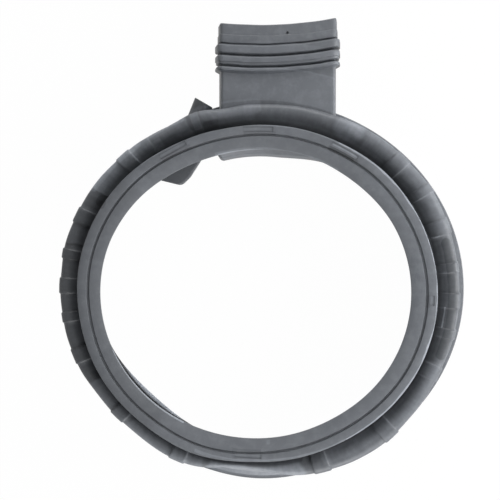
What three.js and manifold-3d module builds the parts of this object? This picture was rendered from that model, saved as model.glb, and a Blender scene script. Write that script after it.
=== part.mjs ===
import * as THREE from "three";
import { mergeVertices } from "three/addons/utils/BufferGeometryUtils.js";
import Module from "manifold-3d";

// Door seal of a front-loading washer-dryer: one moulded piece of grey rubber. It lies on its tub end.
// Millimetres. +Z runs along the seal's axis towards the door, and +Y runs out along the air duct.
// Radii are half widths along X. Slack rubber sags into an oval, so half heights along Y are shorter.

const wasm = await Module();
wasm.setup();

// Driving dimensions of the ring.
const DEPTH = 100;
const OVALITY = 0.9375;
const LIP_R = 155.7;
const CLAMP_GROOVE_R = 170.3;
const FLANGE_R = 180.6;
const FOLD_R = 204;
const REAR_R = 211.3;
const DRUM_LIP_R = 174;
const WALL = 2.8;

// The fold: behind the neck the rubber turns forward out of a narrow valley, rises on a long slope
// to its crest, and goes over it and back to the tub.
const NECK_R = 171.4;
const VALLEY_R = 175;
const VALLEY_Z = 56;
const CREST_R = 198;
const CREST_Z = 74;
const SLOPE_CURVE = 14;
const SLOPE_TURN = 45;
const OVER_CURVE = 5.6;
const OVER_TURN = 80;
const FOLD_Z = 51;

// The tub collar: the slot takes the tub's rim, and a clamp band pulls the seat round it tight.
const SLOT = 3.4;
const SLOT_R = 196.4;
const SLOT_DEEP = 11;
const SEAT_R = 203.6;
const COLLAR_TOP = 17;

// Ribs that stiffen the fold, by angle in degrees from +X. Slack has let some drift round the ring.
const RIB_PITCH = 22.5;
const RIB_PHASE = -1.7;
const RIB_HALF = 2.2;
const RIB_PROUD = 1.2;
const RIB_FLANK = 0.3;
const RIB_SECTORS = [-3, -2, -1, 0, 1, 2, 6, 7, 8, 9, 10, 11];
const RIB_DRIFTS = [
  [310, 90, -2.5],
  [45, 20, 1.3],
];
const SLIM_RIBS = [-11.7, 8.3, 32.6, 168.3, 188.3];
const SLIM_RIB_HALF = 1.3;
const STATION_GAP = 9;

// Places where slack rubber is pushed in (negative) or hangs out: angle, half width, amount.
const FOLD_SWAYS = [
  [28, 16, 2],
  [50, 44, 3.8],
  [99, 7, -1.9],
  [108, 7, 1.8],
  [120, 9, -1.6],
  [160, 34, 2],
  [222, 26, -3.2],
  [265.5, 19, -9.8],
  [303, 34, 5],
];
const COLLAR_SWAYS = [
  [114, 22, -3.4],
  [270, 26, 3.4],
];
const DRUM_LIP_SWAYS = [[226, 30, -6.5]];
const LIP_SHIFT = -1.6;

// The air duct, a flat bellows that stands off the fold.
const DUCT_X = 18.9;
const DUCT_WIDTH = 117;
const DUCT_REAR_Z = 19;
const DUCT_FRONT_Z = 55;
const DUCT_CORNER = 4;
const DUCT_FLARE = 5;
const DUCT_ROOT_Y = 166;
const DUCT_STRAIGHT_END_Y = 227;
const DUCT_END_Y = 277;
const DUCT_TILT = 2.3;
const DUCT_SAG = 4.2;

// Small parts of the moulding.
const VISOR_FROM = 62;
const VISOR_TO = 106;
const VISOR_R = 147;
const VISOR_Z = 45;
const VISOR_RECEDE = 9;
const NOZZLE_Z = 34;
const NOZZLE_END = [-59.3, 194.5];
const NOZZLE_DEPTH = 14;
const NOZZLE_LEAN = -22;
const NOZZLE_BORE_R = 4;
const SPIGOT_R = 10.4;
const SPIGOT_SLANT = -8;
const DRAIN_HOLE = 7;
const PAD_DEEP = 0.7;

const degrees = THREE.MathUtils.degToRad;
const { clamp, smoothstep } = THREE.MathUtils;

const rubber = new THREE.MeshStandardMaterial({ color: 0x73767b, roughness: 0.55, metalness: 0 });

function toSolid(geometry) {
  const bare = geometry.clone();
  bare.deleteAttribute("normal");
  bare.deleteAttribute("uv");
  const merged = mergeVertices(bare, 1e-4);
  return new wasm.Manifold(
    new wasm.Mesh({
      numProp: 3,
      vertProperties: merged.getAttribute("position").array,
      triVerts: new Uint32Array(merged.index.array),
    }),
  );
}

function toGeometry(solid) {
  const mesh = solid.getMesh();
  const geometry = new THREE.BufferGeometry();
  geometry.setAttribute("position", new THREE.BufferAttribute(mesh.vertProperties, 3));
  geometry.setIndex(new THREE.BufferAttribute(mesh.triVerts, 1));
  geometry.computeVertexNormals();
  return geometry;
}

// Carries a closed profile round a closed loop of stations. place(index, station) says where one
// point of the profile lies at one station.
function sweepLoop(profile, stations, place) {
  const closed = [...profile, profile[0]];
  const geometry = new THREE.LatheGeometry(closed, stations.length);
  const position = geometry.getAttribute("position");
  for (let i = 0; i < position.count; i++) {
    const station = stations.at(-Math.floor(i / closed.length) % stations.length);
    const at = place((i % closed.length) % profile.length, station);
    position.setXYZ(i, at.x, at.y, at.z);
  }
  return geometry;
}

function onRing(radius, angle, z) {
  return new THREE.Vector3(
    radius * Math.cos(degrees(angle)),
    radius * OVALITY * Math.sin(degrees(angle)),
    z,
  );
}

// 1 at the middle of a stretch of the circle, falling smoothly to 0 at its ends.
function swell(angle, middle, half) {
  const away = Math.abs(((((angle - middle) % 360) + 540) % 360) - 180);
  return away < half ? Math.cos((away / half) * (Math.PI / 2)) ** 2 : 0;
}

const sumOf = (list, angle) =>
  list.reduce((sum, [middle, half, amount]) => sum + amount * swell(angle, middle, half), 0);

// Section of the ring as (radius, z), in four stretches that follow each other round the outline.
function doorCollar() {
  const path = new THREE.Path();
  path.moveTo(LIP_R, DEPTH - 3.9);
  path.lineTo(LIP_R + 0.8, DEPTH - 2.6);
  path.lineTo(CLAMP_GROOVE_R - 1.2, DEPTH - 0.6);
  path.lineTo(CLAMP_GROOVE_R - 0.8, DEPTH - 2.6);
  path.lineTo(CLAMP_GROOVE_R + 0.8, DEPTH - 2.6);
  path.lineTo(CLAMP_GROOVE_R + 1.2, DEPTH);
  path.lineTo(FLANGE_R - 1, DEPTH);
  path.lineTo(FLANGE_R, DEPTH - 1);
  path.lineTo(FLANGE_R - 0.2, DEPTH - 2.8);
  path.lineTo(NECK_R + 2.6, DEPTH - 3.2);
  path.lineTo(NECK_R + 2.4, DEPTH - 3.2 - SLOT);
  path.lineTo(FLANGE_R - 1.6, DEPTH - 3.8 - SLOT);
  path.lineTo(FLANGE_R - 1.6, DEPTH - 6 - SLOT);
  path.lineTo(NECK_R + 0.8, DEPTH - 8.2 - SLOT);
  return path.getPoints();
}

function foldOuterSkin() {
  const path = new THREE.Path();
  const start = degrees(90 + SLOPE_TURN);
  const end = degrees(90 - OVER_TURN);
  path.moveTo(NECK_R + 0.8, VALLEY_Z + 2);
  path.lineTo(NECK_R + 2.2, VALLEY_Z);
  path.lineTo(VALLEY_R + 1, VALLEY_Z + 1);
  path.absarc(CREST_R, CREST_Z - SLOPE_CURVE, SLOPE_CURVE, start, Math.PI / 2, true);
  path.absarc(CREST_R, CREST_Z - OVER_CURVE, OVER_CURVE, Math.PI / 2, end, true);
  path.lineTo(FOLD_R, FOLD_Z);
  path.lineTo(FOLD_R - 1.6, COLLAR_TOP + 10);
  path.lineTo(FOLD_R - 3.4, COLLAR_TOP + 2.6);
  return path.getPoints(2);
}

function tubCollar() {
  const path = new THREE.Path();
  path.moveTo(SEAT_R + 2, COLLAR_TOP);
  path.lineTo(SEAT_R, COLLAR_TOP - 4.6);
  path.lineTo(SEAT_R, 5.6);
  path.lineTo(REAR_R - 1.8, 5);
  path.lineTo(REAR_R, 3.4);
  path.lineTo(REAR_R - 1.1, 0);
  path.lineTo(SLOT_R + SLOT, 0);
  path.lineTo(SLOT_R + SLOT, SLOT_DEEP);
  path.lineTo(SLOT_R, SLOT_DEEP);
  path.lineTo(SLOT_R, 0);
  path.lineTo(SLOT_R - 3, 0);
  return path.getPoints();
}

function innerSkin() {
  const bead = 3.4;
  const path = new THREE.Path();
  path.moveTo(SLOT_R - 7.4, 4);
  path.lineTo(DRUM_LIP_R + bead, 2.2);
  path.absarc(DRUM_LIP_R + bead, 2.2 + bead, bead, -Math.PI / 2, Math.PI / 2, true);
  path.lineTo(SLOT_R - 6.4, 9.6);
  path.lineTo(SLOT_R - 0.8, COLLAR_TOP - 1);
  path.lineTo(FOLD_R - 1.6 - WALL, COLLAR_TOP + 10);
  path.lineTo(FOLD_R - WALL, FOLD_Z);
  path.absarc(CREST_R, CREST_Z - OVER_CURVE, OVER_CURVE - WALL, degrees(90 - OVER_TURN), Math.PI / 2);
  path.lineTo(CREST_R - 7.5, CREST_Z - WALL - 2);
  path.lineTo(VALLEY_R + 0.6 * WALL, VALLEY_Z - WALL);
  path.lineTo(NECK_R + 0.8 - WALL, VALLEY_Z - WALL);
  path.lineTo(NECK_R - 3.4, DEPTH - 5.8);
  path.lineTo(LIP_R + 1.3, DEPTH - 5.1);
  return path.getPoints(1);
}

// Middle and half width of each rib.
function ribSpans() {
  const wide = RIB_SECTORS.map((sector) => [RIB_PHASE + sector * RIB_PITCH, RIB_HALF]);
  const slim = SLIM_RIBS.map((angle) => [angle, SLIM_RIB_HALF]);
  const drifted = [...wide, ...slim].map(([angle, half]) => [angle + sumOf(RIB_DRIFTS, angle), half]);
  return drifted.sort((a, b) => a[0] - b[0]);
}

// Stations round the ring: one at each foot and each shoulder of a rib, and even steps between ribs.
function ringStations() {
  const ribs = ribSpans();
  const stations = [];
  ribs.forEach(([middle, half], i) => {
    const foot = half + RIB_FLANK;
    stations.push({ angle: middle - foot, proud: 0 }, { angle: middle - half, proud: RIB_PROUD });
    stations.push({ angle: middle + half, proud: RIB_PROUD }, { angle: middle + foot, proud: 0 });
    const [nextMiddle, nextHalf] = ribs[(i + 1) % ribs.length];
    const from = middle + foot;
    const to = nextMiddle - nextHalf - RIB_FLANK + (i + 1 === ribs.length ? 360 : 0);
    const steps = Math.ceil((to - from) / STATION_GAP);
    for (let step = 1; step < steps; step++) {
      stations.push({ angle: from + ((to - from) * step) / steps, proud: 0 });
    }
  });
  return stations;
}

function ring() {
  const collar = doorCollar();
  const fold = foldOuterSkin();
  const profile = [...collar, ...fold, ...tubCollar(), ...innerSkin()];
  const ribbed = (index) => index > collar.length + 2 && index < collar.length + fold.length - 1;
  return sweepLoop(profile, ringStations(), (index, { angle, proud }) => {
    const point = profile[index].clone();
    if (ribbed(index)) {
      const along = profile[index + 1].clone().sub(profile[index - 1]).normalize();
      point.add(new THREE.Vector2(-along.y, along.x).multiplyScalar(proud));
    }
    const onFold = smoothstep(point.y, COLLAR_TOP, FOLD_Z);
    const outOnFold = onFold * clamp((point.x - NECK_R - 6) / (FOLD_R - NECK_R - 6), 0, 1);
    const onCollar = (1 - onFold) * smoothstep(point.x, SLOT_R - 14, SLOT_R);
    const onDrumLip = smoothstep(SLOT_R - 5 - point.x, 0, 12) * (point.y < 12 ? 1 : 0);
    const sway =
      outOnFold * sumOf(FOLD_SWAYS, angle) +
      onCollar * sumOf(COLLAR_SWAYS, angle) +
      onDrumLip * sumOf(DRUM_LIP_SWAYS, angle);
    const at = onRing(point.x + sway, angle, point.y);
    at.x += LIP_SHIFT * smoothstep(CLAMP_GROOVE_R - point.x, 2, 14) * (point.y > DEPTH - 20 ? 1 : 0);
    return at;
  });
}

// Stations round the duct: a point of the rounded outline in X and Z, and the way out from it.
function ductStations() {
  const halfWidth = DUCT_WIDTH / 2 - DUCT_CORNER;
  const halfDepth = (DUCT_FRONT_Z - DUCT_REAR_Z) / 2 - DUCT_CORNER;
  const cornerSteps = 2;
  const wallSteps = 5;
  const corners = [
    [1, 1],
    [-1, 1],
    [-1, -1],
    [1, -1],
  ];
  const stations = [];
  corners.forEach(([side, face], quarter) => {
    for (let step = 0; step <= cornerSteps; step++) {
      const turn = (quarter + step / cornerSteps) * (Math.PI / 2);
      const out = new THREE.Vector2(Math.cos(turn), Math.sin(turn));
      const point = new THREE.Vector2(side * halfWidth, face * halfDepth);
      stations.push({ point: point.addScaledVector(out, DUCT_CORNER), out });
    }
    if (quarter % 2 === 0) {
      const out = new THREE.Vector2(0, face);
      for (let step = 1; step < wallSteps; step++) {
        const x = halfWidth * side * (1 - (2 * step) / wallSteps);
        stations.push({ point: new THREE.Vector2(x, face * (halfDepth + DUCT_CORNER)), out });
      }
    }
  });
  return stations;
}

// The duct's wall as (step out from the outline, Y): the outside up to the rim, then the inside back.
function ductProfile() {
  const ridge = 4.4;
  const valley = -1.4;
  const outside = [
    [0, DUCT_ROOT_Y],
    [0, DUCT_STRAIGHT_END_Y],
    [ridge, 229.4],
    [ridge, 232],
    [valley, 234.1],
    [ridge, 236.8],
    [ridge, 243.2],
    [valley, 245.9],
    [ridge, 248.4],
    [ridge, 254.6],
    [-0.4, 257],
    [1.8, 258.4],
    [1.8, 265.3],
    [1, 265.9],
    [1, DUCT_END_Y - 1],
    [0.2, DUCT_END_Y],
  ];
  const inside = [
    [-1.8, DUCT_END_Y],
    [-1.8, 258],
    [-WALL - 0.4, 256],
    [ridge - WALL, 253.4],
    [ridge - WALL, 249.6],
    [valley - WALL, 245.9],
    [ridge - WALL, 242],
    [ridge - WALL, 238],
    [valley - WALL, 234.1],
    [ridge - WALL, 230.7],
    [-WALL, 226],
    [-WALL, DUCT_ROOT_Y],
  ];
  return [...outside, ...inside].map(([step, y]) => new THREE.Vector2(step, y));
}

function duct() {
  const profile = ductProfile();
  const middleZ = (DUCT_FRONT_Z + DUCT_REAR_Z) / 2;
  const halfDepth = (DUCT_FRONT_Z - DUCT_REAR_Z) / 2;
  const tube = sweepLoop(profile, ductStations(), (index, { point, out }) => {
    const step = profile[index].x;
    const x = point.x + out.x * step;
    const z = point.y + out.y * step;
    const across = clamp(x / (DUCT_WIDTH / 2), -1, 1);
    const flare = DUCT_FLARE * clamp(-across, 0, 1) * clamp(0.5 - z / (2 * halfDepth), 0, 1);
    const bend = DUCT_TILT * across - DUCT_SAG * (1 - across * across);
    const y = profile[index].y + bend * smoothstep(profile[index].y, 182, DUCT_STRAIGHT_END_Y);
    return new THREE.Vector3(DUCT_X + x - flare, y, middleZ + z);
  });
  return toSolid(tube).subtract(ovalPlug(FOLD_R - WALL + 0.5));
}

// An oval cylinder that fills the ring out to a radius, to trim what stands on the fold.
function ovalPlug(radius) {
  const plug = new THREE.CylinderGeometry(radius, radius, 2 * DEPTH, 72);
  return toSolid(plug.rotateX(Math.PI / 2).scale(1, OVALITY, 1));
}

// What opens the fold's wall into the duct.
function ductPassage() {
  const width = DUCT_WIDTH - 2 * WALL;
  const depth = DUCT_FRONT_Z - DUCT_REAR_Z - 2 * WALL;
  const passage = new THREE.BoxGeometry(width, 40, depth);
  return toSolid(passage.translate(DUCT_X, 182, (DUCT_FRONT_Z + DUCT_REAR_Z) / 2));
}

// The visor hangs from the neck, under the duct, and turns the hot air back into the drum. Its lower
// edge draws back towards its right end.
function visor() {
  const section = [
    [NECK_R - 1, VISOR_Z + 30],
    [NECK_R - 1, VISOR_Z + 24],
    [VISOR_R + 8, VISOR_Z + 12],
    [VISOR_R + 4, VISOR_Z],
    [VISOR_R + 1, VISOR_Z],
    [VISOR_R, VISOR_Z + 2],
    [VISOR_R + 3, VISOR_Z + 15],
  ].map(([radius, z]) => new THREE.Vector2(radius, z));
  const steps = 9;
  const shape = new THREE.Shape(section);
  const extrude = new THREE.ExtrudeGeometry(shape, { depth: 1, steps, bevelEnabled: false });
  const position = extrude.getAttribute("position");
  for (let i = 0; i < position.count; i++) {
    const angle = THREE.MathUtils.lerp(VISOR_FROM, VISOR_TO, position.getZ(i));
    const low = clamp((NECK_R - position.getX(i)) / 18, 0, 1);
    const recede = VISOR_RECEDE * low * smoothstep(84 - angle, 0, 26);
    const at = onRing(position.getX(i) + recede, angle, position.getY(i));
    position.setXYZ(i, at.x, at.y, at.z);
  }
  return toSolid(extrude);
}

// The spray nozzle's hood: flat, flared and rounded at its tip, it reaches in from the fold's wall.
function nozzleHood() {
  const plan = new THREE.Shape();
  plan.moveTo(-66, 186);
  plan.lineTo(-83, 160);
  plan.lineTo(-112, 128);
  plan.lineTo(-114, 116);
  plan.lineTo(-88, 109.2);
  plan.quadraticCurveTo(-81, 108, -73.6, 117);
  plan.lineTo(-62.2, 134.7);
  plan.lineTo(-50, 186);
  const bevel = 2;
  const hood = new THREE.ExtrudeGeometry(plan, {
    depth: NOZZLE_DEPTH - 2 * bevel,
    bevelThickness: bevel,
    bevelSize: bevel,
    bevelOffset: -bevel,
    bevelSegments: 2,
    curveSegments: 4,
  });
  return toSolid(hood.translate(0, 0, NOZZLE_Z - NOZZLE_DEPTH / 2 + bevel));
}

// A round rod along the nozzle's axis, from its outer end inwards. Both ends are cut on a slant.
function nozzleRod(radius, length, sides) {
  const rod = new THREE.CylinderGeometry(radius, radius, length, sides);
  const slant = new THREE.Matrix4().makeShear(Math.tan(degrees(SPIGOT_SLANT)), 0, 0, 0, 0, 0);
  rod.translate(0, -length / 2, 0).applyMatrix4(slant).rotateZ(degrees(NOZZLE_LEAN));
  return toSolid(rod.translate(...NOZZLE_END, NOZZLE_Z));
}

const nozzleSpigot = () => nozzleRod(SPIGOT_R, 24, 20);
const nozzleBore = () => nozzleRod(NOZZLE_BORE_R, 110, 12);

// Drain holes at the bottom of the ring, through the drum lip and back into the tub.
function drainHoles() {
  return [262, 270, 278].map((angle) => {
    const hole = new THREE.CylinderGeometry(DRAIN_HOLE / 2, DRAIN_HOLE / 2, 20, 10);
    const at = onRing((DRUM_LIP_R + SLOT_R) / 2, angle, 6);
    return toSolid(hole.rotateX(Math.PI / 2).translate(at.x, at.y, at.z));
  });
}

// Shallow pads sunk into the flange's face: angle and length.
function flangePads() {
  const pads = [
    [60, 30],
    [90, 30],
    [119, 30],
    [267, 27],
    [357.5, 10],
  ];
  return pads.map(([angle, length]) => {
    const pad = new THREE.BoxGeometry(5, length, 2 * PAD_DEEP);
    const at = onRing(FLANGE_R - 4.6, angle, DEPTH);
    return toSolid(pad.rotateZ(degrees(angle)).translate(at.x, at.y, at.z));
  });
}

function seal() {
  const cuts = [ductPassage(), nozzleBore(), ...drainHoles(), ...flangePads()];
  const added = [duct(), visor(), nozzleHood(), nozzleSpigot()];
  const moulding = added.reduce((whole, piece) => whole.add(piece), toSolid(ring()));
  const geometry = toGeometry(cuts.reduce((whole, cut) => whole.subtract(cut), moulding));
  geometry.computeBoundingBox();
  const middle = geometry.boundingBox.getCenter(new THREE.Vector3());
  geometry.translate(-middle.x, -middle.y, 0);
  const mesh = new THREE.Mesh(geometry, rubber);
  mesh.name = "door_seal";
  return mesh;
}

const part = new THREE.Group();
part.add(seal());

export default part;
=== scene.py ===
"""Door seal of a washer-dryer, lying on its tub end: the fine rubber surface, its looks and the studio.

This surface replaces the solid of the frame. It is drawn from the same dimensions, in millimetres until
a mesh is made, and finer. Angles are in degrees round the ring from +X.
"""

import math

import bmesh
import bpy
from mathutils import Matrix, Vector, noise

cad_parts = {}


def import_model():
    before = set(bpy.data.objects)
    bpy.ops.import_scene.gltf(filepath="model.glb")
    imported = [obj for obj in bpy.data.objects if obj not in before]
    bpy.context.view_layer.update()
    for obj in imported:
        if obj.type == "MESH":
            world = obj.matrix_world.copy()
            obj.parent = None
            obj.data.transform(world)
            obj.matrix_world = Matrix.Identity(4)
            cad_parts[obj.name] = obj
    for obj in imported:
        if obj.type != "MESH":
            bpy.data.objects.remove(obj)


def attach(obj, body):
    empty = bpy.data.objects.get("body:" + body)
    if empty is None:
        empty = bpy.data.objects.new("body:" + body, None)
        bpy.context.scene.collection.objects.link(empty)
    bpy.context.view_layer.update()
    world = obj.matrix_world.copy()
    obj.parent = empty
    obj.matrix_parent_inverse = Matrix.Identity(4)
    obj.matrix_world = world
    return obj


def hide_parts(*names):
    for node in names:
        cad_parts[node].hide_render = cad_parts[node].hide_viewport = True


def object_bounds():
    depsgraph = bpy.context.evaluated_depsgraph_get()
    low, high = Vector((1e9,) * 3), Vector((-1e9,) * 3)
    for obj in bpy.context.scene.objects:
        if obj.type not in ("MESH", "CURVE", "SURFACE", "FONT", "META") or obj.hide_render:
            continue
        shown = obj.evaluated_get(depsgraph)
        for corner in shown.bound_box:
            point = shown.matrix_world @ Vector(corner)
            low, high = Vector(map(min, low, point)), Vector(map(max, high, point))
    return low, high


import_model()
cad_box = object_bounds()

MM = 0.001

# The ring, as half widths along X and heights from the tub end.
DEPTH = 100
OVALITY = 0.9375
LIP_R = 155.7
CLAMP_GROOVE_R = 170.3
FLANGE_R = 180.6
FOLD_R = 204
REAR_R = 211.3
DRUM_LIP_R = 174
WALL = 2.8
CREST_R = 198
CREST_Z = 74
SLOPE_CURVE = 14
SLOPE_TURN = 45
OVER_CURVE = 5.6
OVER_TURN = 80
FOLD_Z = 51
VALLEY_R = 175
VALLEY_Z = 56
NECK_R = 171.4
NECK_Z = 80
SLOT = 3.4
SLOT_R = 196.4
SLOT_DEEP = 11
SEAT_R = 203.6
COLLAR_TOP = 17

# Ribs on the fold. They drift off their pitch by the swells below: angle, half width, degrees.
RIB_PITCH = 22.5
RIB_PHASE = -1.7
RIB_HALF = 2.2
RIB_PROUD = 1.2
RIB_FLANK = 0.45
RIB_SECTORS = (-3, -2, -1, 0, 1, 2, 6, 7, 8, 9, 10, 11)
RIB_DRIFTS = ((310, 90, -2.5), (45, 20, 1.3))
SLIM_RIBS = (-11.7, 8.3, 32.6, 168.3, 188.3)
SLIM_RIB_HALF = 1.3
# Degrees from one section of the ring to the next, away from the ribs.
STATION_GAP = 1.4

# Where slack rubber is pushed in (negative) or hangs out: angle, half width, amount.
FOLD_SWAYS = (
    (28, 16, 2),
    (50, 44, 3.8),
    (99, 7, -1.9),
    (108, 7, 1.8),
    (120, 9, -1.6),
    (160, 34, 2),
    (222, 26, -3.2),
    (265.5, 19, -9.8),
    (303, 34, 5),
)
COLLAR_SWAYS = ((114, 22, -3.4), (270, 26, 3.4))
DRUM_LIP_SWAYS = ((226, 30, -6.5),)
FLANGE_SWAYS = ((252, 22, 2), (46, 18, 0.9), (108, 34, -2), (190, 24, -1.1), (300, 34, -1.8))
LIP_SWAYS = ((54, 30, -1.9), (110, 50, -4.9), (150, 16, -0.5), (300, 25, -0.8))
# How far the door end is moved and grown, and how far its lip is moved on top of that.
DOOR_END_SHIFT = (-1, -1)
DOOR_END_GROWTH = 0.005
LIP_SHIFT = (-1.3, 1)

# The air duct.
DUCT_X = 18.9
DUCT_WIDTH = 117
DUCT_REAR_Z = 19
DUCT_FRONT_Z = 55
DUCT_CORNER = 2.5
DUCT_FLARE = 5
DUCT_ROOT_Y = 166
DUCT_STRAIGHT_END_Y = 227
DUCT_END_Y = 277
DUCT_BEND_Y = 182
DUCT_TILT = 2.3
DUCT_SAG = 4.2

# Slow ripples of the slack rubber: how long they are, and how high.
FOLD_RIPPLE = (34, 1.1)
DUCT_RIPPLE = (24, 0.5)

# The ring's centre in the row frame, whose middle is that of the whole box.
RING_Y = cad_box[1][1] / MM - DUCT_END_Y - DUCT_TILT

# Small parts of the moulding.
VISOR_FROM = 62
VISOR_TO = 106
VISOR_R = 147
VISOR_Z = 45
VISOR_RECEDE = 9
VISOR_END = 1.8
VISOR_ROLL = 4
NOZZLE_Z = 34
NOZZLE_END = (-59.3, 194.5)
NOZZLE_DEPTH = 14
NOZZLE_LEAN = -22
NOZZLE_BORE_R = 4
NOZZLE_BORE_LENGTH = 110
SPIGOT_R = 10.4
SPIGOT_LENGTH = 24
SPIGOT_SLANT = -8
DRAIN_HOLE = 7
DRAIN_HOLE_ANGLES = (262, 270, 278)
PIN_MARK = (28.5, 264.3)
PIN_MARK_R = 1.4
PIN_MARK_LENGTH = 3.8
PAD_R = FLANGE_R - 5.6
PAD_WIDTH = 5
PAD_DEEP = 0.7
# Each pad's angle and length.
FLANGE_PADS = ((60, 30), (89.6, 30), (119, 30), (267, 27), (357.5, 10))

# The rubber's colours.
DARK_RUBBER = (0.096, 0.104, 0.117, 1)
PALE_RUBBER = (0.115, 0.123, 0.136, 1)
CHALK = (0.145, 0.155, 0.17, 1)

# How fine its noises are, in waves per metre.
CLOUD_SCALE = 14
WANDER_SCALE = 45
BLOOM_SCALE = 90
GRAIN_SCALE = 1100

# Its tone by place, as shares of the base colour: the nozzle's hood and spigot darker, painted shade in the
# fold's valley, on the duct's side walls and in grooves, painted light and shade at the pads, and convex
# edges paler from wear and painted highlights.
VALLEY_PAINTED_SHADE = 0.3
NOZZLE_TONE = 0.66
SPIGOT_TONE = 0.8
DUCT_WALL_PAINTED_SHADE = 0.5
PAD_PAINTED_LIGHT = 0.22
EDGE_WEAR_AND_HIGHLIGHT = 0.12
GROOVE_PAINTED_SHADE = 0.4
# How near another surface has to be for the painted shade in grooves, in millimetres.
GROOVE_SHADE_REACH = 5

# Edges that turn by more degrees than this stay sharp.
SHARP_ANGLE = 38


def clamp(x, low=0.0, high=1.0):
    return min(max(x, low), high)


def smoothstep(x, low, high):
    t = clamp((x - low) / (high - low))
    return t * t * (3 - 2 * t)


def window(angle, middle, half):
    """1 at the middle of a stretch of the circle, falling smoothly to 0 at its ends."""
    away = abs((angle - middle + 180) % 360 - 180)
    return math.cos(away / half * math.pi / 2) ** 2 if away < half else 0.0


def sum_of(swells, angle):
    return sum(amount * window(angle, middle, half) for middle, half, amount in swells)


def rounded(corners):
    """Fillets the corners of a closed outline, each given as (x, y, radius)."""
    points = []
    for i, (x, y, radius) in enumerate(corners):
        corner = Vector((x, y))
        if radius == 0:
            points.append(corner)
            continue
        before = Vector(corners[i - 1][:2]) - corner
        after = Vector(corners[(i + 1) % len(corners)][:2]) - corner
        half = before.angle(after) / 2
        reach = min(radius / math.tan(half), before.length * 0.48, after.length * 0.48)
        start = corner + before.normalized() * reach
        end = corner + after.normalized() * reach
        steps = 2 if radius < 1 else 4
        for step in range(steps + 1):
            t = step / steps
            points.append(start * (1 - t) ** 2 + corner * 2 * t * (1 - t) + end * t * t)
    return points


def on_ring(radius, angle, z):
    turn = math.radians(angle)
    return Vector((radius * math.cos(turn), RING_Y + radius * OVALITY * math.sin(turn), z))


def sweep_loop(name, profile, stations, place):
    """Carries a closed profile round a closed loop: place(index, station) is a point in the row frame."""
    size = len(profile)
    verts = [place(i, station) * MM for station in stations for i in range(size)]
    faces = []
    for s in range(len(stations)):
        here, there = s * size, (s + 1) % len(stations) * size
        for i in range(size):
            j = (i + 1) % size
            faces.append((here + i, here + j, there + j, there + i))
    return closed_mesh(name, verts, faces)


def closed_mesh(name, verts, faces):
    mesh = bpy.data.meshes.new(name)
    mesh.from_pydata(verts, [], faces)
    work = bmesh.new()
    work.from_mesh(mesh)
    bmesh.ops.recalc_face_normals(work, faces=work.faces)
    work.to_mesh(mesh)
    work.free()
    piece = bpy.data.objects.new(name, mesh)
    bpy.context.scene.collection.objects.link(piece)
    return piece


def combine(piece, other, operation):
    """Joins other to piece or cuts it away, and deletes other."""
    modifier = piece.modifiers.new(operation, "BOOLEAN")
    modifier.operation = operation
    modifier.solver = "MANIFOLD"
    modifier.object = other
    evaluated = piece.evaluated_get(bpy.context.evaluated_depsgraph_get())
    mesh = bpy.data.meshes.new_from_object(evaluated)
    piece.modifiers.clear()
    piece.data = mesh
    bpy.data.objects.remove(other)
    return piece


def crest(inset):
    """The round top of the fold, from its long inner slope over to its outer side, as corners."""
    steps = 7
    corners = []
    for curve, start, end in ((SLOPE_CURVE, 90 + SLOPE_TURN, 90), (OVER_CURVE, 90, 90 - OVER_TURN)):
        for step in range(steps + 1):
            turn = math.radians(start + (end - start) * step / steps)
            radius = curve - inset
            corners.append((CREST_R + radius * math.cos(turn), CREST_Z - curve + radius * math.sin(turn), 0))
    return corners[: steps + 1] + corners[steps + 2 :]


def section():
    """The ring's section as (radius, z, fillet), from the door lip round the outside to the inside."""
    corners = [
        (LIP_R, DEPTH - 4.6, 0.8),
        (LIP_R, DEPTH - 2.6, 0.8),
        (CLAMP_GROOVE_R - 1.7, DEPTH - 0.6, 0.6),
        (CLAMP_GROOVE_R - 0.8, DEPTH - 2.2, 0.6),
        (CLAMP_GROOVE_R + 0.6, DEPTH - 2.2, 0.6),
        (CLAMP_GROOVE_R + 1.4, DEPTH, 0.6),
        (FLANGE_R, DEPTH, 0.5),
        (FLANGE_R, DEPTH - 3, 0.5),
        (NECK_R + 2.6, DEPTH - 3.2, 0.6),
        (NECK_R + 2.4, DEPTH - 3.2 - SLOT, 0.6),
        (FLANGE_R - 1.6, DEPTH - 3.8 - SLOT, 0.7),
        (FLANGE_R - 1.6, DEPTH - 6 - SLOT, 0.7),
        (NECK_R + 1.4, DEPTH - 8.2 - SLOT, 2),
        (NECK_R, NECK_Z, 8),
        (NECK_R + 0.8, VALLEY_Z, 2.4),
        (VALLEY_R, VALLEY_Z, 4),
        *crest(0),
        (FOLD_R, FOLD_Z, 14),
        (FOLD_R - 1.6, COLLAR_TOP + 10, 14),
        (FOLD_R - 3.4, COLLAR_TOP + 2.6, 2.5),
        (SEAT_R + 2, COLLAR_TOP, 0.8),
        (SEAT_R + 2, COLLAR_TOP - 3.4, 0.6),
        (SEAT_R, COLLAR_TOP - 4.6, 0.6),
        (SEAT_R, 5.4, 1),
        (REAR_R, 5, 1),
        (REAR_R, 0, 1),
        (SLOT_R + SLOT, 0, 0.5),
        (SLOT_R + SLOT, SLOT_DEEP, 0.5),
        (SLOT_R, SLOT_DEEP, 0.5),
        (SLOT_R, 0, 0.5),
        (SLOT_R - 3, 0, 0.8),
        (SLOT_R - 7.4, 4, 3),
        (DRUM_LIP_R, 2.2, 3.3),
        (DRUM_LIP_R, 9, 3.3),
        (SLOT_R - 6.4, 9.6, 4),
        (SLOT_R - 0.8, COLLAR_TOP - 1, 4),
        (FOLD_R - 1.6 - WALL, COLLAR_TOP + 10, 8),
        (FOLD_R - WALL, FOLD_Z, 14),
        *reversed(crest(WALL)),
        (VALLEY_R + 0.6 * WALL, VALLEY_Z - WALL, 4),
        (NECK_R - WALL + 0.8, VALLEY_Z - WALL, 3),
        (NECK_R - WALL, NECK_Z, 8),
        (NECK_R - 2, DEPTH - 8.2 - SLOT, 3),
        (NECK_R - 5, DEPTH - 6.2, 3),
    ]
    return rounded(corners)


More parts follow.
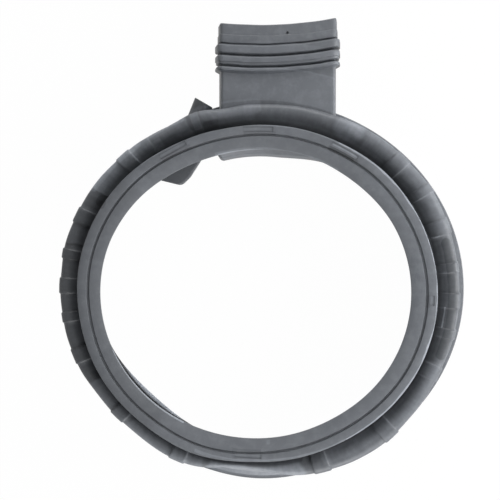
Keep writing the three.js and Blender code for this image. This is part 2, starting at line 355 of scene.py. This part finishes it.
def rib_spans():
    """The middle and half width of each rib."""
    wide = [(RIB_PHASE + sector * RIB_PITCH, RIB_HALF) for sector in RIB_SECTORS]
    slim = [(angle, SLIM_RIB_HALF) for angle in SLIM_RIBS]
    return sorted((angle + sum_of(RIB_DRIFTS, angle), half) for angle, half in wide + slim)


def ring_stations():
    """(angle, how far a rib stands proud there) at close steps, and closer on the ribs' flanks."""
    ribs = rib_spans()
    stations = []
    for i, (middle, half) in enumerate(ribs):
        rise = [(half + RIB_FLANK * (1 - t), RIB_PROUD * smoothstep(t, 0, 1)) for t in (0, 0.35, 0.65, 1)]
        stations += [(middle - away, proud) for away, proud in rise]
        stations += [(middle + half * k, RIB_PROUD) for k in (-0.8, 0, 0.8)]
        stations += [(middle + away, proud) for away, proud in reversed(rise)]
        next_middle, next_half = ribs[(i + 1) % len(ribs)]
        start = middle + half + RIB_FLANK
        end = next_middle - next_half - RIB_FLANK + (360 if i + 1 == len(ribs) else 0)
        steps = math.ceil((end - start) / STATION_GAP)
        stations += [(start + (end - start) * step / steps, 0.0) for step in range(1, steps)]
    return stations


def slack(at, size, amount):
    """A slow ripple of soft rubber, the same on every run."""
    return noise.noise(Vector(at) / size) * amount


def ring():
    profile = section()
    normals = []
    for i, point in enumerate(profile):
        along = (profile[(i + 1) % len(profile)] - profile[i - 1]).normalized()
        normals.append(Vector((-along.y, along.x)))
    # The ribs stand on the fold's outside, from the first of these points to the last.
    first = next(i for i, p in enumerate(profile) if p.x > VALLEY_R + 2 and p.y < NECK_Z)
    last = next(i for i, p in enumerate(profile) if i > first and p.y < COLLAR_TOP + 4)

    def place(i, station):
        """Where the slack rubber puts a point of the section."""
        angle, proud = station
        point = profile[i].copy()
        if first <= i < last:
            point += normals[i] * proud * smoothstep(point.x, VALLEY_R, VALLEY_R + 5)
        out = clamp((point.x - NECK_R - 6) / (FOLD_R - NECK_R - 6))
        height = smoothstep(point.y, COLLAR_TOP, FOLD_Z)
        radius = point.x + sum_of(FOLD_SWAYS, angle) * out * height
        if point.y < 12:
            radius += sum_of(DRUM_LIP_SWAYS, angle) * smoothstep(SLOT_R - 5 - point.x, 0, 12)
        radius += sum_of(COLLAR_SWAYS, angle) * smoothstep(point.x, SLOT_R - 14, SLOT_R) * (1 - height)
        radius += slack(on_ring(radius, angle, point.y), *FOLD_RIPPLE) * out * height
        door_end = smoothstep(point.y, NECK_Z, DEPTH - 8)
        lip = smoothstep(CLAMP_GROOVE_R - point.x, 2, 14)
        radius += (sum_of(FLANGE_SWAYS, angle) * (1 - lip) + sum_of(LIP_SWAYS, angle) * lip) * door_end
        at = on_ring(radius * (1 + DOOR_END_GROWTH * door_end), angle, point.y)
        at.x += (DOOR_END_SHIFT[0] + LIP_SHIFT[0] * lip) * door_end
        at.y += (DOOR_END_SHIFT[1] + LIP_SHIFT[1] * lip) * door_end
        return at

    return sweep_loop("door_seal_rubber", profile, ring_stations(), place)


def duct_stations():
    """Points round the duct's rounded outline in X and Z, each with its way out."""
    half_width = DUCT_WIDTH / 2 - DUCT_CORNER
    half_depth = (DUCT_FRONT_Z - DUCT_REAR_Z) / 2 - DUCT_CORNER
    stations = []
    for quarter, (side, face) in enumerate(((1, 1), (-1, 1), (-1, -1), (1, -1))):
        centre = Vector((side * half_width, face * half_depth))
        for step in range(5):
            turn = (quarter + step / 4) * math.pi / 2
            out = Vector((math.cos(turn), math.sin(turn)))
            stations.append((centre + out * DUCT_CORNER, out))
        steps = 36 if quarter % 2 == 0 else 4
        ends = ((-1, 1), (-1, -1), (1, -1), (1, 1))[quarter]
        target = Vector((ends[0] * half_width, ends[1] * half_depth))
        for step in range(1, steps):
            stations.append((centre.lerp(target, step / steps) + out * DUCT_CORNER, out))
    return stations


def duct_profile():
    """The duct's wall as (step out from the outline, Y, fillet), up the outside and down the inside."""
    ridge, valley = 4.4, -1.4
    outside = [
        (0, DUCT_ROOT_Y, 0),
        (0, 190, 0),
        (0, 210, 0),
        (0, DUCT_STRAIGHT_END_Y, 1),
        (ridge, 229.4, 1.6),
        (ridge, 232.4, 1.4),
        (valley, 234.1, 0.8),
        (ridge - 0.9, 235.8, 1.2),
        (ridge - 0.9, 238.1, 0.3),
        (ridge, 238.5, 0.5),
        (ridge, 244.0, 1.6),
        (valley, 245.9, 0.8),
        (ridge, 247.7, 1.6),
        (ridge, 255.2, 1.6),
        (-0.4, 256.8, 0.6),
        (1.8, 257.8, 0.8),
        (1.8, 265.5, 0.4),
        (1, 266, 0.4),
        (1, DUCT_END_Y, 1.4),
    ]
    inside = [
        (-1.8, DUCT_END_Y, 0.8),
        (-1.8, 258, 1),
        (-WALL - 0.4, 256, 1),
        (ridge - WALL, 253.4, 1),
        (ridge - WALL, 249.6, 1),
        (valley - WALL, 245.9, 1),
        (ridge - WALL, 242, 1),
        (ridge - WALL, 238, 1),
        (valley - WALL, 234.1, 1),
        (ridge - WALL, 230.7, 1),
        (-WALL, 226, 1),
        (-WALL, DUCT_ROOT_Y, 0),
    ]
    return rounded(outside + inside)


def duct():
    profile = duct_profile()
    middle_z = (DUCT_FRONT_Z + DUCT_REAR_Z) / 2
    half_depth = (DUCT_FRONT_Z - DUCT_REAR_Z) / 2

    def place(i, station):
        point, out = station
        x = point.x + out.x * profile[i].x
        z = point.y + out.y * profile[i].x
        across = clamp(x / (DUCT_WIDTH / 2), -1, 1)
        flare = DUCT_FLARE * clamp(-across) * clamp(0.5 - z / (2 * half_depth))
        bend = DUCT_TILT * across - DUCT_SAG * (1 - across * across)
        y = profile[i].y + bend * smoothstep(profile[i].y, DUCT_BEND_Y, DUCT_STRAIGHT_END_Y)
        at = Vector((DUCT_X + x - flare, RING_Y + y, middle_z + z))
        at.y += slack(at, *DUCT_RIPPLE)
        return at

    tube = sweep_loop("duct", profile, duct_stations(), place)
    return combine(tube, oval_plug(FOLD_R - WALL + 0.5), "DIFFERENCE")


def prism(name, outline, low_z, high_z):
    """A closed upright prism of an outline in X and Y, in the row frame."""
    size = len(outline)
    verts = [Vector((x, y, z)) * MM for z in (low_z, high_z) for x, y in outline]
    faces = [tuple(range(size)), tuple(range(size, 2 * size))]
    faces += [(i, (i + 1) % size, size + (i + 1) % size, size + i) for i in range(size)]
    return closed_mesh(name, verts, faces)


def oval_plug(radius):
    """What lies within the fold, to cut the duct off at its wall."""
    outline = [on_ring(radius, angle, 0)[:2] for angle in range(0, 360, 2)]
    return prism("plug", outline, -DEPTH, DEPTH)


def duct_passage():
    """The way from the duct through the fold's wall into the ring."""
    half = DUCT_WIDTH / 2 - WALL
    corners = ((-1, 162), (1, 162), (1, 202), (-1, 202))
    outline = [(DUCT_X + side * half, RING_Y + y) for side, y in corners]
    return prism("passage", outline, DUCT_REAR_Z + WALL, DUCT_FRONT_Z - WALL)


def visor():
    """The lip that hangs from the neck under the duct."""
    outline = rounded(
        [
            (NECK_R - 1, VISOR_Z + 30, 0.5),
            (NECK_R - 1, VISOR_Z + 24, 2),
            (VISOR_R + 8, VISOR_Z + 12, 4),
            (VISOR_R + 4, VISOR_Z, 1.2),
            (VISOR_R, VISOR_Z + 0.6, 1.6),
            (VISOR_R + 3, VISOR_Z + 15, 5),
        ]
    )
    steps = 90
    size = len(outline)
    verts = []
    for step in range(steps + 1):
        angle = VISOR_FROM + (VISOR_TO - VISOR_FROM) * math.sin(math.pi / 2 * step / steps)
        for point in outline:
            low = clamp((NECK_R - point.x) / 18)
            recede = VISOR_RECEDE * smoothstep(84 - angle, 0, 26)
            turned = clamp((angle - VISOR_TO + VISOR_END) / VISOR_END)
            recede += VISOR_ROLL * (1 - math.sqrt(1 - turned * turned))
            verts.append(on_ring(point.x + recede * low, angle, point.y) * MM)
    faces = [tuple(range(size)), tuple(range(steps * size, (steps + 1) * size))]
    for step in range(steps):
        for i in range(size):
            j = (i + 1) % size
            a, b = step * size, (step + 1) * size
            faces.append((a + i, a + j, b + j, b + i))
    return closed_mesh("visor", verts, faces)


def nozzle_hood():
    """The flat hood that hangs into the ring, with the bore in it."""
    outline = rounded(
        [
            (-66, 186, 0),
            (-83, 160, 4),
            (-112, 128, 4),
            (-114, 116, 3),
            (-82.5, 108.3, 7),
            (-73.6, 117, 4),
            (-62.2, 134.7, 6),
            (-50, 186, 0),
        ]
    )
    outline = [(p.x, RING_Y + p.y) for p in outline]
    hood = prism("hood", outline, NOZZLE_Z - NOZZLE_DEPTH / 2, NOZZLE_Z + NOZZLE_DEPTH / 2)
    return soften(hood, 2)


def soften(piece, width):
    """Rounds the sharp edges of a piece."""
    modifier = piece.modifiers.new("edges", "BEVEL")
    modifier.width = width * MM
    modifier.segments = 4
    modifier.limit_method = "ANGLE"
    modifier.angle_limit = math.radians(SHARP_ANGLE)
    evaluated = piece.evaluated_get(bpy.context.evaluated_depsgraph_get())
    piece.data = bpy.data.meshes.new_from_object(evaluated)
    piece.modifiers.clear()
    return piece


def rod(name, radius, length, matrix):
    """A closed cylinder that runs from matrix's origin down its local Z."""
    mesh = bpy.data.meshes.new(name)
    work = bmesh.new()
    bmesh.ops.create_cone(
        work, cap_ends=True, segments=40, radius1=radius * MM, radius2=radius * MM, depth=length * MM
    )
    bmesh.ops.translate(work, verts=work.verts, vec=(0, 0, -length / 2 * MM))
    bmesh.ops.transform(work, verts=work.verts, matrix=matrix)
    work.to_mesh(mesh)
    work.free()
    piece = bpy.data.objects.new(name, mesh)
    bpy.context.scene.collection.objects.link(piece)
    return piece


def nozzle_rod(radius, length):
    """A rod along the nozzle's slanting axis, for the spigot and the bore."""
    place = Matrix.Translation(Vector((NOZZLE_END[0], RING_Y + NOZZLE_END[1], NOZZLE_Z)) * MM)
    slant = Matrix.Identity(4)
    slant[1][0] = math.tan(math.radians(SPIGOT_SLANT))
    lean = Matrix.Rotation(math.radians(NOZZLE_LEAN), 4, "Z") @ slant
    return rod("rod", radius, length, place @ lean @ Matrix.Rotation(math.radians(-90), 4, "X"))


def pin_mark():
    """Cuts the small round mark in the front of the duct's cuff."""
    at = Vector((PIN_MARK[0], RING_Y + PIN_MARK[1], DUCT_FRONT_Z + 3))
    return rod("pin", PIN_MARK_R, PIN_MARK_LENGTH, Matrix.Translation(at * MM))


def drain_holes():
    """The holes at the bottom of the ring, through the drum lip and back into the tub."""
    holes = []
    for angle in DRAIN_HOLE_ANGLES:
        at = on_ring((DRUM_LIP_R + SLOT_R) / 2, angle, 6) + Vector((0, 0, 10))
        holes.append(rod("hole", DRAIN_HOLE / 2, 20, Matrix.Translation(at * MM)))
    return holes


def flange_pads():
    """The shallow pads sunk into the flange's face."""
    pads = []
    for angle, length in FLANGE_PADS:
        turn = Matrix.Rotation(math.radians(angle), 4, "Z")
        at = on_ring(PAD_R, angle, DEPTH)
        ends = ((-1, -1), (1, -1), (1, 1), (-1, 1))
        corners = [Vector((across * PAD_WIDTH / 2, along * length / 2, 0)) for across, along in ends]
        outline = [(at + turn @ corner)[:2] for corner in corners]
        pads.append(prism("pad", outline, DEPTH - PAD_DEEP, DEPTH + PAD_DEEP))
    return pads


def seal():
    piece = ring()
    piece = combine(piece, duct(), "UNION")
    piece = combine(piece, visor(), "UNION")
    piece = combine(piece, nozzle_hood(), "UNION")
    piece = combine(piece, soften(nozzle_rod(SPIGOT_R, SPIGOT_LENGTH), 0.8), "UNION")
    piece = combine(piece, duct_passage(), "DIFFERENCE")
    bore = nozzle_rod(NOZZLE_BORE_R, NOZZLE_BORE_LENGTH)
    for cut in (bore, pin_mark(), *drain_holes(), *flange_pads()):
        piece = combine(piece, cut, "DIFFERENCE")
    return piece


def smooth(piece):
    """Smooth shading, with creases kept where the surface turns sharply."""
    mesh = piece.data
    mesh.shade_smooth()
    work = bmesh.new()
    work.from_mesh(mesh)
    for edge in work.edges:
        edge.smooth = len(edge.link_faces) == 2 and edge.calc_face_angle() < math.radians(SHARP_ANGLE)
    work.to_mesh(mesh)
    work.free()


class Nodes:
    """A short way to build a node tree: each call adds a node, sets its inputs and returns it."""

    def __init__(self, tree):
        self.tree = tree
        tree.nodes.clear()

    def add(self, kind, inputs=None, **settings):
        node = self.tree.nodes.new(kind)
        for name, value in settings.items():
            setattr(node, name, value)
        for name, value in (inputs or {}).items():
            if isinstance(value, bpy.types.NodeSocket):
                self.tree.links.new(value, node.inputs[name])
            else:
                node.inputs[name].default_value = value
        return node

    def math(self, operation, *values):
        node = self.tree.nodes.new("ShaderNodeMath")
        node.operation = operation
        for socket, value in zip(node.inputs, values):
            if isinstance(value, bpy.types.NodeSocket):
                self.tree.links.new(value, socket)
            else:
                socket.default_value = value
        return node.outputs[0]

    def slope(self, value, start, at_start, end, at_end):
        """A straight run from one level to another, and level beyond its ends."""
        levels = {"Value": value, "From Min": start, "From Max": end, "To Min": at_start, "To Max": at_end}
        return self.add("ShaderNodeMapRange", levels).outputs["Result"]

    def fade(self, value, zero_at, one_at):
        """A soft step from 0 to 1."""
        ends = {"Value": value, "From Min": zero_at, "From Max": one_at}
        return self.add("ShaderNodeMapRange", ends, interpolation_type="SMOOTHSTEP").outputs["Result"]

    def ramp(self, factor, stops):
        node = self.add("ShaderNodeValToRGB", {"Fac": factor})
        elements = node.color_ramp.elements
        while len(elements) < len(stops):
            elements.new(0.5)
        for element, (position, colour) in zip(elements, stops):
            element.position = position
            element.color = colour
        return node.outputs["Color"]


# Patches painted darker (negative) or paler than the rest: from and to in degrees, inner and outer radius,
# corner, soft edge, amount. They were tuned against the photograph, so that some are wear and most are
# painted light and shade: painted highlights, painted shadows and painted shade over the left side.
PAINTED_LIGHT_AND_WEAR = (
    # The fold from the left, over the upper left, as far as the duct: painted shade over the left side and a
    # painted shadow in a crescent, a paler stretch on the upper left, and painted highlights and shadows
    # along the creases beside the duct.
    (165, 210, 184, 212, 2, 3, -0.48),
    (149, 165, 184, 212, 2, 3, -0.22),
    (146.5, 150.5, 180, 193, 5, 1, -0.25),
    (124.5, 146, 185, 212, 2, 2, 0.95),
    (127, 147, 200, 209, 2, 2, 0.7),
    (111.5, 124.5, 183, 212, 2, 2, 0.45),
    (111, 124.5, 182, 188, 2, 2, 0.4),
    (112, 124, 201, 208, 2, 2, 0.6),
    (121.5, 124, 184, 194, 1, 2, 0.5),
    (90, 107, 193, 209, 6, 3, 0.35),
    (92, 104, 188, 196, 3, 4, 0.3),
    (103, 107.5, 183, 191, 2, 2, -0.3),
    (108.2, 110, 187, 208, 1, 1, 0.45),
    # The fold from the duct down the right side: painted highlights on the crest and along rib edges, and
    # painted shade over the flat panel at the right.
    (59, 66, 190, 206, 6, 7, 0.6),
    (57, 63, 196, 206, 4, 4, 0.3),
    (20, 56, 189, 209, 3, 4, 0.28),
    (-21.8, 17, 192.5, 201.2, 5, 1.4, -0.42),
    (-11.6, -5.1, 188.9, 189.8, 0.3, 0.5, 1.4),
    (18.5, 18.7, 184, 193, 0.3, 0.5, 0.7),
    (-70, -24, 187, 198, 3, 4, 0.3),
    # The dent at the bottom, and the fold to the left of it: painted light on the dent's outer slope and on
    # the fold beside it, painted shade inside the dent, and a painted shadow further left.
    (284, 292, 184, 206, 2, 3, -0.1),
    (255, 284, 182, 190, 3, 2, -0.35),
    (255, 283, 194, 212, 5, 6, 0.9),
    (228, 252, 190, 207, 4, 4, 0.5),
    (207, 210, 183, 194, 3, 2, -0.15),
    # The door end, the visor and the duct: a painted highlight along the flange's outer edge, painted shade
    # over its left side, slight painted light and shade on its top and bottom, a painted highlight on the
    # visor with a painted shadow at its end, a paler duct, and a thin pale mark near the bottom.
    (50, 130, 179.4, 182.5, 0.3, 0.5, 0.4),
    (-60, 50, 179.8, 182.5, 0.3, 0.5, 1.4),
    (50, 63, 179.4, 182.5, 0.3, 0.5, 0.8),
    (140, 232, 155, 182, 3, 14, -0.2),
    (268, 318, 174, 182, 2, 6, -0.08),
    (74, 120, 172, 182, 2, 6, 0.1),
    (104.9, 106.2, 140, 153.5, 0.3, 0.8, -0.4),
    (250, 300, 179.4, 182.5, 0.3, 0.5, 0.4),
    (58, 106, 209, 244, 2, 1.5, 0.34),
    (58, 106, 244, 272, 2, 2, 0.2),
    (50, 130, 155, 179, 2, 8, -0.1),
    (58, 106, 144, 155, 1, 1, 0.35),
    (273.5, 274.3, 158.5, 162.5, 0.4, 0.9, 0.22),
)

# Painted highlights on the door lip's edge, and painted light and shade on the pad at the upper right, kept
# off what lies below them.
DOOR_END_PAINTED_LIGHT = (
    (203, 242, 157.6, 158.9, 0.3, 0.5, 1.6),
    (88, 106, 152, 153.4, 0.3, 0.6, 0.9),
    (55.2, 64.4, 175.3, 176.7, 0.3, 0.5, 0.6),
    (55.8, 65.2, 169.6, 172.8, 0.3, 0.7, -0.3),
)

# A painted highlight on the drum lip's edge, where it sags into sight.
DRUM_LIP_HIGHLIGHT = (200, 254, 160, 169, 2, 3, 3)


def ring_place(nodes, place):
    """Where a point lies round the ring: its angle in degrees, half width in millimetres, and height."""
    split = nodes.add("ShaderNodeSeparateXYZ", {"Vector": place}).outputs
    x = nodes.math("DIVIDE", split["X"], MM)
    y = nodes.math("DIVIDE", nodes.math("SUBTRACT", nodes.math("DIVIDE", split["Y"], MM), RING_Y), OVALITY)
    angle = nodes.math("DEGREES", nodes.math("ARCTAN2", y, x))
    squares = nodes.math("ADD", nodes.math("MULTIPLY", x, x), nodes.math("MULTIPLY", y, y))
    radius = nodes.math("SQRT", squares)
    return angle, radius, nodes.math("DIVIDE", split["Z"], MM)


def painted_patch(nodes, angle, radius, spot):
    """How much one painted patch adds to the tone, be it painted light, shade or wear: all of its amount
    inside a rounded patch, none outside.
    """
    start, end, inner, outer, corner, soft, amount = spot
    middle, level = (start + end) / 2, (inner + outer) / 2
    arc = math.radians(level)
    turned = nodes.math("ABSOLUTE", nodes.math("WRAP", nodes.math("SUBTRACT", angle, middle), 180, -180))
    along = nodes.math("MULTIPLY_ADD", turned, arc, corner - (end - start) / 2 * arc)
    across = nodes.math("ABSOLUTE", nodes.math("SUBTRACT", radius, level))
    across = nodes.math("ADD", across, corner - (outer - inner) / 2)
    along, across = (nodes.math("MAXIMUM", away, 0) for away in (along, across))
    squares = nodes.math("MULTIPLY_ADD", along, along, nodes.math("MULTIPLY", across, across))
    beyond = nodes.math("SQRT", squares)
    return nodes.math("MULTIPLY", nodes.fade(beyond, corner + soft, corner), amount)


def pad_light_and_shade():
    """Each pad's floor painted pale and the band beside it painted darker: painted light and shade."""
    spots = []
    for middle, length in FLANGE_PADS:
        half = math.degrees(length / 2 / FLANGE_R)
        start, end = middle - half, middle + half
        spots.append((start, end, FLANGE_R - 7, FLANGE_R - 4.2, 0.3, 0.6, PAD_PAINTED_LIGHT))
        spots.append((start - 1, end, CLAMP_GROOVE_R - 1.5, CLAMP_GROOVE_R + 2.5, 0.5, 0.8, -PAD_PAINTED_LIGHT))
    return spots


def all_painted_patches(nodes, place, angle, radius, height):
    """What the patches of painted light, shade and wear add to the tone. Those of the main table have
    slightly uneven edges.
    """
    noise_fields = {"Vector": place, "Scale": WANDER_SCALE, "Detail": 3}
    wander = nodes.add("ShaderNodeTexNoise", noise_fields).outputs["Color"]
    wander = nodes.add("ShaderNodeSeparateColor", {"Color": wander}).outputs
    near_angle = nodes.math("ADD", angle, nodes.slope(wander["Red"], 0.3, -0.5, 0.7, 0.5))
    near_radius = nodes.math("ADD", radius, nodes.slope(wander["Green"], 0.3, -0.7, 0.7, 0.7))
    added = 0.0
    for spot in PAINTED_LIGHT_AND_WEAR:
        added = nodes.math("ADD", added, painted_patch(nodes, near_angle, near_radius, spot))
    door_end = nodes.fade(height, DEPTH - 12, DEPTH - 8)
    for spot in DOOR_END_PAINTED_LIGHT:
        added = nodes.math("MULTIPLY_ADD", painted_patch(nodes, angle, radius, spot), door_end, added)
    for spot in pad_light_and_shade():
        added = nodes.math("ADD", added, painted_patch(nodes, angle, radius, spot))
    return added


def fold_streaks(nodes, angle, radius):
    """Faint streaks across the fold."""
    combed = nodes.add("ShaderNodeCombineXYZ", {"X": angle, "Y": nodes.math("MULTIPLY", radius, 0.08)})
    streaks = nodes.add("ShaderNodeTexNoise", {"Vector": combed.outputs[0], "Scale": 0.9, "Detail": 4})
    on_fold = nodes.math("MULTIPLY", nodes.fade(radius, 183, 185), nodes.fade(radius, 212, 208))
    return nodes.math("MULTIPLY", nodes.slope(streaks.outputs["Fac"], 0.3, -0.08, 0.7, 0.08), on_fold)


def valley_shade(nodes, radius, height):
    """How much painted shade darkens the fold's valley, between the flange and the crest."""
    below_band = nodes.fade(height, DEPTH - 3, DEPTH - 4)
    beyond_neck = nodes.fade(radius, NECK_R - 1, NECK_R)
    valley = nodes.math("MULTIPLY", below_band, beyond_neck)
    shade = nodes.slope(radius, VALLEY_R + 7, 1 - VALLEY_PAINTED_SHADE, VALLEY_R + 12, 0)
    return nodes.math("MULTIPLY", valley, shade)


def toned_places(nodes, angle, radius, height):
    """(where, tone): the nozzle's hood and its spigot darker, and painted shade on the duct's side walls."""
    inside_lip = nodes.fade(radius, DRUM_LIP_R - 8, DRUM_LIP_R - 9)
    hood = nodes.math("MULTIPLY", inside_lip, nodes.fade(height, VISOR_Z - 1, VISOR_Z - 2))
    past_fold = nodes.fade(radius, FOLD_R + 0.4, FOLD_R + 0.6)
    spigot = nodes.math("MULTIPLY", past_fold, nodes.fade(angle, 104, 105))
    spigot = nodes.math("MULTIPLY", spigot, nodes.fade(angle, 113, 112))
    behind_front = nodes.fade(height, DUCT_FRONT_Z - 2, DUCT_FRONT_Z - 5)
    wall = nodes.math("MULTIPLY", nodes.fade(radius, 210, 214), behind_front)
    return (hood, NOZZLE_TONE), (spigot, SPIGOT_TONE), (wall, DUCT_WALL_PAINTED_SHADE)


def rubber_tone(nodes, coordinates):
    """How dark or pale the rubber is, by place, as a share of its base colour: wear and streaks, and much
    painted light and shade.
    """
    place = coordinates["Object"]
    angle, radius, height = ring_place(nodes, place)
    # The patches lie on what faces the door, and fade away down the walls.
    facing = nodes.add("ShaderNodeSeparateXYZ", {"Vector": coordinates["Normal"]}).outputs["Z"]
    painted_and_worn = all_painted_patches(nodes, place, angle, radius, height)
    tone = nodes.math("MULTIPLY_ADD", painted_and_worn, nodes.fade(facing, -0.03, 0.3), 1)
    tone = nodes.math("MULTIPLY", tone, nodes.math("ADD", fold_streaks(nodes, angle, radius), 1))
    tone = nodes.math("MULTIPLY", tone, nodes.math("SUBTRACT", 1, valley_shade(nodes, radius, height)))
    # The drum lip's low edge gets a painted highlight.
    low_lip_highlight = nodes.math("MULTIPLY", painted_patch(nodes, angle, radius, DRUM_LIP_HIGHLIGHT), nodes.fade(height, 20, 16))
    tone = nodes.math("MULTIPLY", tone, nodes.math("ADD", low_lip_highlight, 1))
    for where, share in toned_places(nodes, angle, radius, height):
        tone = nodes.math("MULTIPLY", tone, nodes.slope(where, 0, 1, 1, share))
    # Painted shade where surfaces lie close, in grooves and gaps.
    gap = nodes.add("ShaderNodeAmbientOcclusion", {"Distance": GROOVE_SHADE_REACH * MM}, samples=8, only_local=True)
    tone = nodes.math("MULTIPLY", tone, nodes.slope(gap.outputs["AO"], 0.2, 1 - GROOVE_PAINTED_SHADE, 0.85, 1))
    # Convex edges paler: partly rubbed wear, partly painted highlights on rib edges.
    edge = nodes.add("ShaderNodeNewGeometry").outputs["Pointiness"]
    return nodes.math("MULTIPLY", tone, nodes.slope(edge, 0.51, 1, 0.56, 1 + EDGE_WEAR_AND_HIGHLIGHT))


def rubber():
    material = bpy.data.materials.new("grey_rubber")
    material.use_nodes = True
    nodes = Nodes(material.node_tree)
    coordinates = nodes.add("ShaderNodeTexCoord").outputs

    def cloudy(scale, detail, roughness):
        fields = {"Vector": coordinates["Object"], "Scale": scale, "Detail": detail, "Roughness": roughness}
        return nodes.add("ShaderNodeTexNoise", fields).outputs["Fac"]

    bloom = cloudy(BLOOM_SCALE, 6, 0.7)
    base = nodes.ramp(cloudy(CLOUD_SCALE, 5, 0.6), [(0.3, DARK_RUBBER), (0.7, PALE_RUBBER)])
    dusty = nodes.ramp(bloom, [(0.45, (0, 0, 0, 1)), (0.8, (1, 1, 1, 1))])
    mottled = nodes.add("ShaderNodeMix", {"Factor": dusty, "A": base, "B": CHALK}, data_type="RGBA")
    colour = nodes.add("ShaderNodeVectorMath", operation="SCALE")
    nodes.tree.links.new(mottled.outputs["Result"], colour.inputs["Vector"])
    nodes.tree.links.new(rubber_tone(nodes, coordinates), colour.inputs["Scale"])
    grain = {"Height": cloudy(GRAIN_SCALE, 3, 0.6), "Strength": 0.12, "Distance": 0.0004}
    surface = {
        "Base Color": colour.outputs["Vector"],
        "Roughness": nodes.slope(bloom, 0, 0.42, 1, 0.62),
        "Normal": nodes.add("ShaderNodeBump", grain).outputs["Normal"],
    }
    shader = nodes.add("ShaderNodeBsdfPrincipled", surface)
    nodes.add("ShaderNodeOutputMaterial", {"Surface": shader.outputs["BSDF"]})
    return material


def seen_as_white(nodes):
    """1 for rays that should meet a plain white studio: camera, mirror-like and see-through rays."""
    path = nodes.add("ShaderNodeLightPath").outputs
    either = nodes.math("MAXIMUM", path["Is Camera Ray"], path["Is Glossy Ray"])
    return nodes.math("MAXIMUM", either, path["Is Transmission Ray"])


# The floor lies a hair under the seal, so that their faces don't coincide. Its sizes are in metres.
FLOOR_GAP = 0.0002
FLOOR_HALF = 4.0
# How much of the floor's white is its own glow, for the rays of seen_as_white.
FLOOR_WHITE = 0.985

# The world's light at the horizon and overhead, and its share on the left of what it is in the middle.
SKIRT_LIGHT = 0.6
ZENITH_LIGHT = 0.1
LEFT_SHARE = 0.3

# Each lamp's place and size in metres, and its watts.
SOFTBOXES = {
    "right_softbox": ((0.9, 0.0, 0.5), 0.5, 9),
    "top_softbox": ((0.2, 1.4, 0.6), 0.8, 12),
    "bottom_softbox": ((0.3, -1.3, 0.6), 0.8, 15),
}


def floor():
    mesh = bpy.data.meshes.new("floor")
    sides = ((-1, -1), (1, -1), (1, 1), (-1, 1))
    corners = [(x * FLOOR_HALF, y * FLOOR_HALF, -FLOOR_GAP) for x, y in sides]
    mesh.from_pydata(corners, [], [(0, 1, 2, 3)])
    piece = bpy.data.objects.new("floor", mesh)
    bpy.context.scene.collection.objects.link(piece)
    material = bpy.data.materials.new("white_floor")
    material.use_nodes = True
    nodes = Nodes(material.node_tree)
    share = nodes.math("MULTIPLY", seen_as_white(nodes), FLOOR_WHITE)
    paint = nodes.add("ShaderNodeBsdfDiffuse", {"Color": (0.9, 0.9, 0.9, 1)})
    glow = nodes.add("ShaderNodeEmission", {"Color": (1, 1, 1, 1), "Strength": 1.0})
    mix = nodes.add("ShaderNodeMixShader", {"Fac": share})
    nodes.tree.links.new(paint.outputs[0], mix.inputs[1])
    nodes.tree.links.new(glow.outputs[0], mix.inputs[2])
    nodes.add("ShaderNodeOutputMaterial", {"Surface": mix.outputs[0]})
    mesh.materials.append(material)


def world():
    studio = bpy.data.worlds.new("studio")
    bpy.context.scene.world = studio
    studio.use_nodes = True
    nodes = Nodes(studio.node_tree)
    direction = nodes.add("ShaderNodeTexCoord").outputs["Generated"]
    direction = nodes.add("ShaderNodeSeparateXYZ", {"Vector": direction}).outputs
    tent = nodes.slope(direction["Z"], 0, SKIRT_LIGHT, 1, ZENITH_LIGHT)
    side = nodes.slope(direction["X"], -1, LEFT_SHARE, 1, 2 - LEFT_SHARE)
    ambient = nodes.math("MULTIPLY", tent, side)
    strength = nodes.slope(seen_as_white(nodes), 0, ambient, 1, 1)
    background = nodes.add("ShaderNodeBackground", {"Color": (1, 1, 1, 1), "Strength": strength})
    nodes.add("ShaderNodeOutputWorld", {"Surface": background.outputs[0]})


def softbox(name, place, size, power):
    """A square area lamp at a place, aimed at the middle of the ring."""
    lamp = bpy.data.lights.new(name, "AREA")
    lamp.energy = power
    lamp.size = size
    piece = bpy.data.objects.new(name, lamp)
    piece.location = place
    target = Vector((0, RING_Y * MM, DEPTH / 2 * MM))
    piece.rotation_euler = (target - Vector(place)).to_track_quat("-Z", "Y").to_euler()
    bpy.context.scene.collection.objects.link(piece)


# The photograph is 500 by 500, and a millimetre at the door end covers one of its pixels. The camera
# stands to one side of the ring's centre, and RING_PIXEL is where the photograph shows that centre.
IMAGE_SIZE = 500
CAMERA_DISTANCE = 1800
CAMERA_OFFSET = (110, 88)
RING_PIXEL = (257, 293)
SENSOR = 36


def camera():
    data = bpy.data.cameras.new("camera")
    data.sensor_width = SENSOR
    data.lens = SENSOR * CAMERA_DISTANCE / IMAGE_SIZE
    piece = bpy.data.objects.new("camera", data)
    bpy.context.scene.collection.objects.link(piece)
    eye = Vector((CAMERA_OFFSET[0], RING_Y + CAMERA_OFFSET[1], DEPTH + CAMERA_DISTANCE))
    aim = Vector((IMAGE_SIZE / 2 - RING_PIXEL[0], RING_Y + RING_PIXEL[1] - IMAGE_SIZE / 2, DEPTH))
    ahead = (aim - eye).normalized()
    right = ahead.cross(Vector((0, 1, 0))).normalized()
    up = right.cross(ahead)
    turn = Matrix((right, up, -ahead)).transposed().to_4x4()
    piece.matrix_world = Matrix.Translation(eye * MM) @ turn
    bpy.context.scene.camera = piece


def studio():
    bpy.context.scene.view_settings.view_transform = "Standard"
    world()
    floor()
    for name, (place, size, power) in SOFTBOXES.items():
        softbox(name, place, size, power)
    camera()


piece = seal()
smooth(piece)
piece.data.materials.clear()
piece.data.materials.append(rubber())
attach(piece, "root")
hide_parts("door_seal")
studio()
